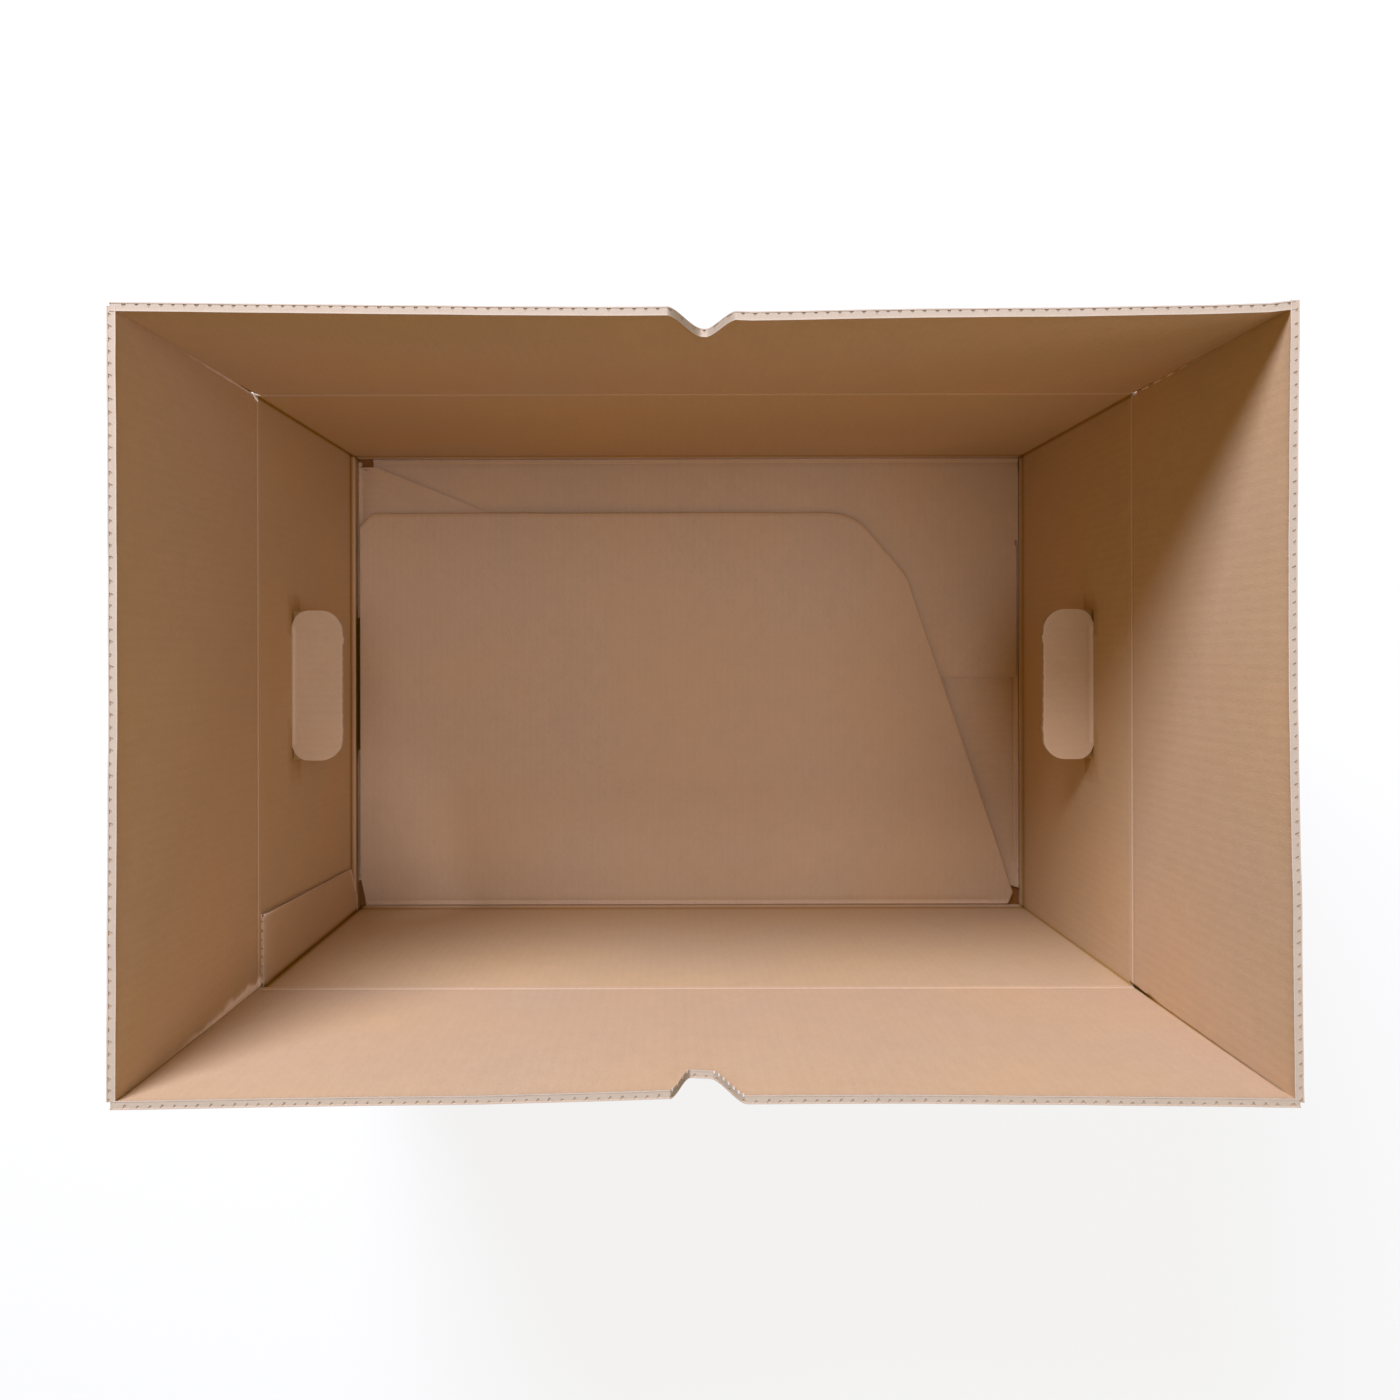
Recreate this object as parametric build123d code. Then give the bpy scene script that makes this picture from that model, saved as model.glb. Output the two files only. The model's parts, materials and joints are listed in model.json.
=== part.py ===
from build123d import *
import os

# Moving carton of single-wall corrugated board, open, with its four top flaps standing.
# One die-cut blank: four walls closed by a glued tab, an automatic bottom of four
# overlapping panels, a folded-in tongue at each hand hole and four creased top flaps.
# Millimetres. X runs along the carton, Y across it, Z up from the floor it stands on.

# Driving dimensions
length = 600.0             # outside, along X
width = 408.0              # outside, along Y
wall_height = 262.0        # floor to the crease of the long flaps
board = 3.2                # thickness of the board
liner = 0.5                # each facing of the board
web = 0.7                  # fluting between two channels, along the board
flute_pitch = 6.1          # one wave of the fluting
flute_margin = 3.0         # sealed board at each end of a flap
crushed_height = 9.0       # board crushed solid above a flap crease
corner_radius = 3.6        # outside radius of the upright folds
foot_radius = 2.4          # outside radius of the folds along the floor

# Top flaps
crease_offset = 0.2        # fold axis outside the outer face
crease_gap = 0.35          # slit on each side of a fold axis
tuck_room = 0.6            # closed short flap to the long flap over it
meet_gap = 2.0             # between the two closed long flaps
corner_gap = 0.3           # end of a flap to the flap round the corner
relief_width = 3.0         # clipped lower corner of a flap, along the flap
relief_height = 4.0        # and upwards
notch_mouth = 40.0         # finger notch at the rim of a long flap
notch_floor = 15.0
notch_depth = 34.0
notch_floor_radius = 6.0
notch_mouth_radius = 5.0
notch_shift = 1.8          # the die sets both notches off centre, towards +X

# Hand holes in the short walls, each closed by a tongue that is folded in
hand_length = 111.0
hand_height = 37.0
hand_radius = 16.0
hand_hinge = 188.0         # top face of a folded tongue above the floor
hand_shift = 2.4           # off centre, towards +Y
hinge_length = 86.0        # creased part of the hole's upper edge
hinge_bite = 2.2           # depth of board that the crease keeps in the wall

# Glue tab, from the front wall round the corner onto the left wall's inner face
tab_reach = 52.0           # at the top, from the outer face of the front wall
tab_slant = 8.5            # narrower at the bottom by this
tab_clip_reach = 28.0      # clipped lower corner, along the wall
tab_clip_rise = 23.0
tab_foot = 19.0            # lowest point of the clip above the floor
tab_room = 0.4             # tab to the closed short flap above it
seam_setback = 0.9         # raw edge of the left wall behind the front wall's face
seam_radius = 2.4          # front wall's fold beside that edge

# Bottom panels
panel_corner = 4.0         # die-cut corners
fold_ramp_a = 45.0         # panel A climbs onto the others along this
fold_ramp_left = 14.0      # left minor panel climbs onto panel B along this
a_side_gap = 3.5           # left edge of panel A to the left wall
a_depth = 352.0            # panel A from the front wall's inner face to its free edge
a_clip = 11.5              # clipped corner at its left end
a_foot_inset = 4.0         # narrower than this at each end of its fold
a_knee_inset = 150.0       # where its free edge starts to fall, from the right wall
a_knee_radius = 22.0
a_heel_inset = 103.0       # where the steep taper starts, from the right wall
a_heel_depth = 297.0       # and from the front wall
a_toe_inset = 6.5          # where the taper ends, from the right wall
a_toe_depth = 11.0         # and from the front wall
b_depth = 197.0            # panel B from the back wall's inner face to its free edge
b_side_gap = 3.2           # right edge of panel B to the right wall
b_left_inset = 14.0        # left edge of panel B to the left wall
b_twist = 100.0            # B comes down from this far right of centre to as far left
b_nick_depth = 77.0        # nick in its right edge, from the back wall
b_nick = 3.0
minor_reach = 188.0        # each minor panel from its wall
minor_slope = 0.41         # fall of the left minor panel's back edge per millimetre
minor_back = 3.5           # end of its fold, from the back wall
minor_ear = 3.0            # its edge steps forward by this behind the corner hole
minor_front = 23.0         # front end of both minor panels, from the front wall
minor_front_slope = 0.3
right_minor_front = 15.0
right_minor_back = 12.0
corner_hole = 13.8         # open corners of the bottom, along X
crease_slot_length = 118.5 # cut in the fold of the left minor panel
crease_slot_width = 9.8
crease_slot_shift = -1.3   # off centre, towards -Y

# Levels and inner faces
inner_x = length / 2 - board
inner_y = width / 2 - board
long_crease = wall_height
short_crease = wall_height - board - tuck_room
long_rise = width / 2 + crease_offset - meet_gap / 2
rim = long_crease + long_rise
short_rise = rim - short_crease
level_b = board
level_left = board
level_a = 2 * board
overrun = 1.0              # cutters run this far past what they cut
near = 0.01                # tolerance for picking edges


def slab_yz(points, x_low, x_high):
    """Solid of a YZ outline between two values of x."""
    outline = Plane.YZ.offset(x_low) * Polygon(*points, align=None)
    return extrude(outline, amount=x_high - x_low, dir=(1, 0, 0))


def slab_xz(points, y_low, y_high):
    """Solid of an XZ outline between two values of y."""
    outline = Plane.XZ.offset(-y_low) * Polygon(*points, align=None)
    return extrude(outline, amount=y_high - y_low, dir=(0, 1, 0))


def column(outline, z_low, z_high):
    """Solid of an XY outline between two heights."""
    return extrude(Pos(0, 0, z_low) * outline, amount=z_high - z_low, dir=(0, 0, 1))


def outline_xy(points):
    return Polygon(*points, align=None)


def box_between(low, high):
    size = [high[i] - low[i] for i in range(3)]
    middle = [(high[i] + low[i]) / 2 for i in range(3)]
    return Pos(*middle) * Box(*size)


def rounded(sketch, corners):
    """Round corners of an XY outline; corners lists (x, y, radius)."""
    for x, y, radius in corners:
        nearest = min(sketch.vertices(), key=lambda v: abs(v.X - x) + abs(v.Y - y))
        sketch = fillet(nearest, radius)
    return sketch


def channel_wires(span):
    """Triangular channels between the facings, base down and base up by turns."""
    waves = int((span - 2 * flute_margin) / flute_pitch)
    first = -waves * flute_pitch / 2
    low = liner
    high = board - liner
    half = flute_pitch / 2
    wires = []
    for i in range(waves):
        c = first + (i + 0.5) * flute_pitch
        wires.append([(c - half + web, low), (c + half - web, low), (c, high)])
        if i < waves - 1:
            wires.append([(c + web, high), (c + half, low), (c + flute_pitch - web, high)])
    return [Wire.make_polygon([Vector(x, y, 0) for x, y in w], close=True) for w in wires]


def notch_cutter(centre):
    """Finger notch: slanted sides, rounded floor, rounded lips. Local frame of a flap."""
    mouth = notch_mouth / 2
    floor = notch_floor / 2
    bottom = long_rise - notch_depth
    top = long_rise + overrun
    wide = mouth + 2 * notch_mouth_radius
    cut = outline_xy([(-floor, bottom), (floor, bottom), (mouth, long_rise), (wide, long_rise),
                      (wide, top), (-wide, top), (-wide, long_rise), (-mouth, long_rise)])
    cut = rounded(cut, [(-floor, bottom, notch_floor_radius), (floor, bottom, notch_floor_radius),
                        (-mouth, long_rise, notch_mouth_radius),
                        (mouth, long_rise, notch_mouth_radius)])
    cutter = extrude(cut, amount=board + 2 * overrun)
    return Pos(centre, board + overrun, 0) * Rot(90, 0, 0) * cutter


def flap(span, rise):
    """Flap standing on its crease: outer face at y = 0, inner face at y = board."""
    half = span / 2
    plan = [(-half, 0), (half, 0), (half, board), (-half, board)]
    outer = Wire.make_polygon([Vector(x, y, 0) for x, y in plan], close=True)
    fluted = extrude(Pos(0, 0, crushed_height) * Face(outer, channel_wires(span)),
                     amount=rise - crushed_height)
    foot = slab_yz([(0, crease_gap), (board, crease_gap + board), (board, crushed_height),
                    (0, crushed_height)], -half, half)
    body = foot + fluted
    clips = []
    for side in (-1, 1):
        end = side * (half + overrun)
        inner_end = side * (half - relief_width)
        clips.append(slab_xz([(inner_end, 0), (end, 0),
                              (end, relief_height * (1 + overrun / relief_width))],
                             -overrun, board + overrun))
    return body - clips


def long_flap(shift):
    return flap(length - 2 * (board + corner_gap), long_rise) - notch_cutter(shift)


def short_flap():
    return flap(width - 2 * (board + corner_gap), short_rise)


def wall_ring():
    """Four walls, folded at three corners and joined at the fourth."""
    plan = Rectangle(length, width)
    folds = [(length / 2, width / 2), (-length / 2, width / 2), (length / 2, -width / 2)]
    plan = rounded(plan, [(x, y, corner_radius) for x, y in folds])
    shell = extrude(plan, amount=long_crease)
    foot = shell.edges().filter_by(lambda e: abs(e.center().Z) < near)
    shell = fillet(foot, foot_radius)
    shell = shell - box_between((-inner_x, -inner_y, -overrun),
                                (inner_x, inner_y, long_crease + overrun))
    # raw edge of the left wall, and the front wall's fold next to it
    setback = box_between((-length / 2 - overrun, -width / 2 - overrun, -overrun),
                          (-inner_x, -width / 2 + seam_setback, long_crease + overrun))
    corner = (-inner_x + seam_radius / 2, -width / 2 + seam_radius / 2)
    cove = Pos(*corner) * Rectangle(seam_radius, seam_radius)
    cove -= Pos(-inner_x + seam_radius, -width / 2 + seam_radius) * Circle(seam_radius)
    return shell - setback - column(cove, -overrun, long_crease + overrun)


def crease_cutters():
    """Everything above the mitred tops of the walls: front, back, left, right."""
    top = long_crease + 2 * overrun
    cutters = []
    for side in (-1, 1):
        for reach, along, crease, slab in ((width / 2, length / 2, long_crease, slab_yz),
                                           (length / 2, width / 2, short_crease, slab_xz)):
            outer = side * (reach + overrun)
            inner = side * (reach - board - overrun)
            edge = crease - crease_gap
            cutters.append(slab([(outer, edge + overrun), (inner, edge - board - overrun),
                                 (inner, top), (outer, top)], -along - overrun, along + overrun))
    return cutters


def glue_tab():
    front = -inner_y - board / 2
    top = short_crease - crease_offset - board - tab_room
    free_top = -width / 2 + tab_reach
    free_low = free_top - tab_slant
    points = [(front, tab_foot - tab_room), (free_low - tab_clip_reach, tab_foot),
              (free_low, tab_foot + tab_clip_rise), (free_top, top), (front, top)]
    return slab_yz(points, -inner_x - board / 2, -inner_x + board)


def bottom_panel_a():
    """Top panel, from the front wall; climbs from the fold and lies on the others."""
    start = -inner_y - board / 2
    high = -inner_y + fold_ramp_a
    free = -inner_y + a_depth
    profile = [(start, 0), (-inner_y, 0), (high, level_a), (free, level_a),
               (free, level_a + board), (high, level_a + board), (-inner_y, board), (start, board)]
    left = -inner_x + a_side_gap
    knee = inner_x - a_knee_inset
    heel = (inner_x - a_heel_inset, -inner_y + a_heel_depth)
    toe = (inner_x - a_toe_inset, -inner_y + a_toe_depth)
    points = [(left + a_foot_inset, start), (toe[0] - a_foot_inset, start), toe, heel,
              (knee, free), (left + a_clip, free), (left, free - a_clip),
              (left, -inner_y + minor_front)]
    plan = rounded(outline_xy(points), [(knee, free, a_knee_radius), (*heel, panel_corner),
                                        (left + a_clip, free, panel_corner),
                                        (left, free - a_clip, panel_corner)])
    return slab_yz(profile, -inner_x, inner_x) & column(plan, -overrun, level_a + 2 * board)


def bottom_panel_b():
    """Panel from the back wall: lies on the floor at its left, on the right minor panel
    at its right."""
    left = -inner_x + b_left_inset
    right = inner_x - b_side_gap
    profile = [(left, 0), (-b_twist, 0), (b_twist, level_b), (inner_x, level_b),
               (inner_x, level_b + board), (b_twist, level_b + board), (-b_twist, board),
               (left, board)]
    back = inner_y + board / 2
    free = inner_y - b_depth
    nick = inner_y - b_nick_depth
    points = [(left, back), (left, free + b_left_inset), (left + b_left_inset, free), (right, free),
              (right, nick - b_nick), (right - b_nick, nick), (right + b_nick / 2, nick + b_nick),
              (right + b_nick / 2, back)]
    return slab_xz(profile, free, back) & column(outline_xy(points), -overrun, 3 * board)


def left_minor_panel():
    """Panel from the left wall: climbs from its fold onto panel B."""
    start = -inner_x - board / 2
    high = -inner_x + fold_ramp_left
    free = -inner_x + minor_reach
    profile = [(start, 0), (-inner_x, 0), (high, level_left), (free, level_left),
               (free, level_left + board), (high, level_left + board), (-inner_x, board),
               (start, board)]
    back = inner_y - minor_back
    front = -inner_y + minor_front
    reach = minor_reach - corner_hole
    ear = back - minor_ear
    points = [(start, back), (-inner_x + a_side_gap, back),
              (-inner_x + a_side_gap, ear - minor_ear),
              (-inner_x + corner_hole, ear), (free, ear - minor_slope * reach),
              (free, front + minor_front_slope * minor_reach), (start, front)]
    panel = slab_xz(profile, front, back) & column(outline_xy(points), -overrun, 3 * board)
    slot = box_between((-inner_x, crease_slot_shift - crease_slot_length / 2, -overrun),
                       (-inner_x + crease_slot_width, crease_slot_shift + crease_slot_length / 2,
                        3 * board))
    return panel - slot


def right_minor_panel():
    """Lowest panel, from the right wall."""
    start = inner_x + board / 2
    free = inner_x - minor_reach
    back = inner_y - right_minor_back
    front = -inner_y + right_minor_front
    points = [(start, front), (start, back), (free, back - minor_slope * minor_reach),
              (free, front + minor_slope * minor_reach),
              (inner_x - corner_hole, front + minor_front_slope * corner_hole)]
    return column(outline_xy(points), 0, board)


def hand_hole():
    """Stadium through the left wall, under the fold of its tongue."""
    middle = hand_hinge - board / 2 - hand_height / 2
    shape = RectangleRounded(hand_length, hand_height, hand_radius)
    cutter = extrude(Plane.YZ * shape, amount=board + 2 * overrun)
    return Pos(-length / 2 - overrun, hand_shift, middle) * cutter


def hand_tongue():
    """The piece pushed in from the hole, level, still creased to the wall above it."""
    plate = RectangleRounded(hand_height, hand_length, hand_radius)
    plate = Pos(-inner_x + hand_height / 2, hand_shift) * plate
    plate = column(plate, hand_hinge - board, hand_hinge)
    crease = box_between((-inner_x - hinge_bite, hand_shift - hinge_length / 2, hand_hinge - board),
                         (-inner_x + hand_radius, hand_shift + hinge_length / 2, hand_hinge))
    return plate + crease


def carton_body():
    walls = wall_ring() - crease_cutters()
    across = Plane.YZ
    holes = [hand_hole(), mirror(hand_hole(), about=across)]
    tongues = [hand_tongue(), mirror(hand_tongue(), about=across)]
    panels = [right_minor_panel(), bottom_panel_b(), left_minor_panel(), bottom_panel_a()]
    body = walls - holes
    for piece in tongues + panels + [glue_tab()]:
        body = body + piece
    return body


def save(node, shape):
    shape.label = node
    export_step(shape, "parts/" + node + ".step")


os.makedirs("parts", exist_ok=True)
save("carton_body", carton_body())
save("front_flap", Pos(0, -width / 2, long_crease) * long_flap(notch_shift))
save("back_flap", Pos(0, width / 2, long_crease) * Rot(0, 0, 180) * long_flap(-notch_shift))
save("left_flap", Pos(-length / 2, 0, short_crease) * Rot(0, 0, -90) * short_flap())
save("right_flap", Pos(length / 2, 0, short_crease) * Rot(0, 0, 90) * short_flap())
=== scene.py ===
import json
import math
import bpy
import numpy as np
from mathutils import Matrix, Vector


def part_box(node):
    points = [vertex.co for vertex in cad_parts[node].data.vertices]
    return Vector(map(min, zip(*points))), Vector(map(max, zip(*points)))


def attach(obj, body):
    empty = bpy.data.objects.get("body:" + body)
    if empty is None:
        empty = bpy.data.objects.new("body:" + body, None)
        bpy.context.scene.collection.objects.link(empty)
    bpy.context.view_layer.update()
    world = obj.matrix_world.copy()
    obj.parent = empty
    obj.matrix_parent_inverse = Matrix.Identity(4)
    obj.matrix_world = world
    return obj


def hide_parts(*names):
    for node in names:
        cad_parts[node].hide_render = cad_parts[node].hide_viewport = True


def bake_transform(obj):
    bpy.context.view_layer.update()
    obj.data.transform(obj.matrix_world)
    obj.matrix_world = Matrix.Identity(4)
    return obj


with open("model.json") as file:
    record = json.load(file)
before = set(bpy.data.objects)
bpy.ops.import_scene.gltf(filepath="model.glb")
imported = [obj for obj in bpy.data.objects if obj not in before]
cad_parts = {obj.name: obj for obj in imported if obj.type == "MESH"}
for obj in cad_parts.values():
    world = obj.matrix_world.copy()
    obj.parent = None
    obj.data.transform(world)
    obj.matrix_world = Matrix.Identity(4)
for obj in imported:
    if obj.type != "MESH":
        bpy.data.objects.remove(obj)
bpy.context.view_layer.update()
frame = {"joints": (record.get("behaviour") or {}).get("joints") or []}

mm = 0.001

# Sizes, in metres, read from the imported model
body_low, body_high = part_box("carton_body")
front_low, front_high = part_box("front_flap")
left_low, left_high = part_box("left_flap")
half_x = (body_high[0] - body_low[0]) / 2
half_y = (body_high[1] - body_low[1]) / 2
rim = front_high[2]
board = front_high[1] - front_low[1]
long_half = (front_high[0] - front_low[0]) / 2 + 0.5 * mm
short_half = (left_high[1] - left_low[1]) / 2 + 0.3 * mm
hinges = {j["name"]: j["pos_m"] for j in frame["joints"]}
long_crease = hinges["front_crease"][2]
short_crease = hinges["left_crease"][2]
inner_x = half_x - board
inner_y = half_y - board

# The board: two liners and a wave of fluting between them
pitch = 6.1 * mm
liner = 0.45 * mm
paper = 0.3 * mm           # the fluting
fold_radius = 3.6 * mm     # upright folds of the walls
foot_radius = 2.4 * mm
lap = 4.5 * mm             # a flap's mesh starts this far under its crease
clip = 3.6 * mm            # lower corners of the flaps clipped at the back left corner
right_clip = 2.3 * mm      # and at the back right one
small_clip = 0.6 * mm      # at the front corners
slant_height = 2.4         # height of a clipped corner as a multiple of its width
slant_rows_top = 10.5 * mm # the rows up to here are drawn up along the slant
tooth = 2.15 * mm          # spacing of the teeth of the cutting rule
dot_depth = 1.25 * mm      # openings of the crushed fluting in a cut edge

KRAFT, CUT, FLUTE, SHADED_WALL = 0, 1, 2, 3


def bump_at(t, centre, width):
    """Bell curve of height 1."""
    return np.exp(-((t - centre) / width) ** 2)


def smooth(x):
    """Soft step from 0 to 1."""
    x = np.clip(x, 0, 1)
    return x * x * (3 - 2 * x)


def ripple(x, amount, size, seed):
    """Slow unevenness along x: a few sines with seeded phases."""
    phases = np.random.default_rng(seed).uniform(0, 2 * np.pi, 3)
    waves = [np.sin(2 * np.pi * k * x / size + p) / k for k, p in zip((1, 1.7, 3.1), phases)]
    return amount * sum(waves) / 1.9


def corner_cut(v, half, radius):
    """How far rounded corners cut into an edge that runs from -half to half, at v."""
    from_end = np.clip(half - np.abs(v), 0, radius)
    return radius - np.sqrt(np.clip(radius ** 2 - (radius - from_end) ** 2, 0, 1))


def rounded_line(points):
    """Open outline with rounded corners as two arrays. points: (s, t, radius)."""
    s_out, t_out = [], []
    for i, (s, t, r) in enumerate(points):
        here = np.array([s, t], float)
        if r <= 0 or i in (0, len(points) - 1):
            s_out.append(s)
            t_out.append(t)
            continue
        back = np.array(points[i - 1][:2]) - here
        on = np.array(points[i + 1][:2]) - here
        a = here + back / np.linalg.norm(back) * r
        b = here + on / np.linalg.norm(on) * r
        for k in np.linspace(0, 1, 7):
            q = (1 - k) ** 2 * a + 2 * k * (1 - k) * here + k ** 2 * b
            s_out.append(q[0])
            t_out.append(q[1])
    return np.array(s_out), np.array(t_out)


class Board:
    """A mesh gathered sheet by sheet. s runs across the flutes, t along them and n from
    the outer face (0) to the inner face (board)."""

    def __init__(self):
        self.points, self.flat, self.wear = [], [], []
        self.quads, self.slots = [], []
        self.count = 0

    def sheet(self, s, t, keep, n_low, n_high, place, slot=KRAFT, wear=None, cut=CUT):
        """A closed sheet of paper over the grid s, t, between two values of n."""
        rows = t.shape[1]
        across = np.repeat(s[:, None], rows, axis=1)
        n_low = np.broadcast_to(np.asarray(n_low, float), t.shape)
        n_high = np.broadcast_to(np.asarray(n_high, float), t.shape)
        lower = np.stack(place(across, t, n_low), axis=-1)
        upper = np.stack(place(across, t, n_high), axis=-1)
        index = np.arange(t.size).reshape(t.shape)
        low_index = self.count + index
        high_index = self.count + t.size + index

        i, j = (k[len(k) // 2] for k in np.nonzero(keep))
        e_s = upper[i + 1, j] - upper[i, j]
        e_t = upper[i, j + 1] - upper[i, j]
        right_handed = np.dot(np.cross(e_s, e_t), upper[i, j] - lower[i, j]) > 0

        quads, slots = [], []

        def add(a, b, c, d, kind):
            block = np.stack([a, b, c, d], axis=-1)
            quads.append(block if right_handed else block[:, ::-1])
            slots.append(np.full(len(block), kind))

        i, j = np.nonzero(keep)
        add(high_index[i, j], high_index[i + 1, j], high_index[i + 1, j + 1],
            high_index[i, j + 1], slot)
        add(low_index[i, j], low_index[i, j + 1], low_index[i + 1, j + 1],
            low_index[i + 1, j], slot)
        around = np.pad(keep, 1)
        for di, dj, first, last in ((0, -1, (0, 0), (1, 0)), (1, 0, (1, 0), (1, 1)),
                                    (0, 1, (1, 1), (0, 1)), (-1, 0, (0, 1), (0, 0))):
            open_side = keep & ~around[1 + di:1 + di + keep.shape[0],
                                       1 + dj:1 + dj + keep.shape[1]]
            i, j = np.nonzero(open_side)
            p = (i + first[0], j + first[1])
            q = (i + last[0], j + last[1])
            add(high_index[q], high_index[p], low_index[p], low_index[q], cut)

        scuffs_and_painted_light = np.zeros(t.shape) if wear is None else wear(across, t)
        for points, n in ((lower, n_low), (upper, n_high)):
            self.points.append(points.reshape(-1, 3))
            self.flat.append(np.stack([across, t, n], axis=-1).reshape(-1, 3))
            self.wear.append(scuffs_and_painted_light.ravel())
        self.quads += quads
        self.slots += slots
        self.count += 2 * t.size

    def make(self, name, materials):
        points = np.concatenate(self.points)
        quads = np.concatenate(self.quads)
        used, quads = np.unique(quads, return_inverse=True)
        quads = quads.reshape(-1, 4)
        points = points[used]
        mesh = bpy.data.meshes.new(name)
        mesh.vertices.add(len(points))
        mesh.vertices.foreach_set("co", points.ravel())
        mesh.loops.add(quads.size)
        mesh.loops.foreach_set("vertex_index", quads.ravel())
        mesh.polygons.add(len(quads))
        mesh.polygons.foreach_set("loop_start", np.arange(0, quads.size, 4))
        mesh.polygons.foreach_set("material_index", np.concatenate(self.slots))
        mesh.polygons.foreach_set("use_smooth", np.ones(len(quads), bool))
        mesh.update(calc_edges=True)
        mesh.set_sharp_from_angle(angle=math.radians(40))
        flat = mesh.attributes.new("board", "FLOAT_VECTOR", "POINT")
        flat.data.foreach_set("vector", np.concatenate(self.flat)[used].ravel())
        # per point marks: pale raw edges, painted highlights and painted shade
        scuffs_and_painted_light = mesh.attributes.new("wear", "FLOAT", "POINT")
        scuffs_and_painted_light.data.foreach_set("value", np.concatenate(self.wear)[used])
        for material in materials:
            mesh.materials.append(material)
        obj = bpy.data.objects.new(name, mesh)
        bpy.context.collection.objects.link(obj)
        return obj


def wave_columns(low, high, per_wave=12):
    """Evenly spaced columns, fine enough for the fluting."""
    steps = int((high - low) / pitch * per_wave)
    return np.linspace(low, high, steps + 1)


def wave(s):
    """Lower and upper side of the fluting at s."""
    depth = (board - 2 * liner - paper) / 2 - 0.00002
    angle = 2 * np.pi * s / pitch
    steep = np.sqrt(1 + (depth * 2 * np.pi / pitch * np.cos(angle)) ** 2)
    middle = board / 2 + depth * np.sin(angle)
    return middle - paper / 2 * steep, middle + paper / 2 * steep


# Materials

def kraft(name, colour, rough, fleck, telegraph):
    """Kraft paper: clouds, fibres, flecks, the flutes showing through, and the marks from the mesh:
    pale raw edges, painted highlights and painted shade.
    rough: roughness. fleck: strength of the flecks. telegraph: how far the flutes show."""
    material = bpy.data.materials.new(name)
    material.use_nodes = True
    nodes, links = material.node_tree.nodes, material.node_tree.links
    nodes.clear()

    def node(kind, **values):
        made = nodes.new(kind)
        for key, value in values.items():
            if key in made.inputs:
                made.inputs[key].default_value = value
            else:
                setattr(made, key, value)
        return made

    def maths(operation, a, b=None, c=None):
        made = node("ShaderNodeMath", operation=operation)
        for socket, value in zip(made.inputs, (a, b, c)):
            if value is None:
                continue
            if isinstance(value, (int, float)):
                socket.default_value = value
            else:
                links.new(value, socket)
        return made.outputs[0]

    def noise(scale, stretch, detail, offset):
        place = node("ShaderNodeMapping")
        place.inputs["Scale"].default_value = stretch
        place.inputs["Location"].default_value = offset
        links.new(flat.outputs["Vector"], place.inputs["Vector"])
        made = node("ShaderNodeTexNoise", Scale=scale, Detail=detail, Roughness=0.55)
        links.new(place.outputs[0], made.inputs["Vector"])
        return maths("SUBTRACT", made.outputs[0], 0.5)

    flat = node("ShaderNodeAttribute", attribute_name="board")
    scuffs_and_painted_light = node("ShaderNodeAttribute", attribute_name="wear").outputs["Fac"]
    cloud = noise(7.0, (1, 1, 60), 2, (0.3, 0.1, 0))
    mottle = noise(90.0, (1, 0.7, 4), 2, (1.3, 0.4, 0))
    fibre = noise(900.0, (1, 0.28, 1), 2.5, (0, 0, 0))
    grit = noise(2600.0, (1, 1, 1), 1, (0.7, 0.2, 0))
    split = node("ShaderNodeSeparateXYZ")
    links.new(flat.outputs["Vector"], split.inputs[0])
    flute = maths("SINE", maths("MULTIPLY", split.outputs[0], 2 * math.pi / pitch))
    light_fleck = maths("MULTIPLY", maths("MAXIMUM", maths("SUBTRACT", grit, 0.2), 0), fleck * 3)
    dark_fleck = maths("MULTIPLY", maths("MINIMUM", maths("ADD", grit, 0.2), 0), fleck * 3)

    value = maths("MULTIPLY_ADD", cloud, 0.16, 1.0)
    value = maths("MULTIPLY_ADD", mottle, 0.10, value)
    value = maths("MULTIPLY_ADD", fibre, 0.14, value)
    value = maths("MULTIPLY_ADD", flute, 0.006 * telegraph, value)
    value = maths("ADD", value, light_fleck)
    value = maths("ADD", value, dark_fleck)
    # marks from the mesh: positive values lighten and grey the pale raw edges and are painted
    # highlights on fold ridges and creases; negative values are painted shade in corners, joints,
    # gaps and along edges
    value = maths("MULTIPLY_ADD", maths("MINIMUM", scuffs_and_painted_light, 3.2), 0.22, value)
    saturation_shift = maths("MINIMUM", scuffs_and_painted_light, 2.2)
    saturation = maths("MULTIPLY_ADD", saturation_shift, -0.22, maths("MULTIPLY_ADD", cloud, 0.2, 1.0))
    paint = node("ShaderNodeHueSaturation")
    paint.inputs["Color"].default_value = (*colour, 1)
    links.new(value, paint.inputs["Value"])
    links.new(saturation, paint.inputs["Saturation"])

    height = maths("MULTIPLY_ADD", fibre, 0.00010, maths("MULTIPLY", mottle, 0.00012))
    height = maths("MULTIPLY_ADD", flute, 0.000022 * telegraph, height)
    bump = node("ShaderNodeBump", Strength=0.8, Distance=1.0)
    links.new(height, bump.inputs["Height"])
    shader = node("ShaderNodeBsdfPrincipled")
    shader.inputs["Specular IOR Level"].default_value = 0.22
    links.new(paint.outputs[0], shader.inputs["Base Color"])
    links.new(maths("MULTIPLY_ADD", mottle, 0.25, rough), shader.inputs["Roughness"])
    links.new(bump.outputs[0], shader.inputs["Normal"])
    output = node("ShaderNodeOutputMaterial")
    links.new(shader.outputs[0], output.inputs["Surface"])
    return material


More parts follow.
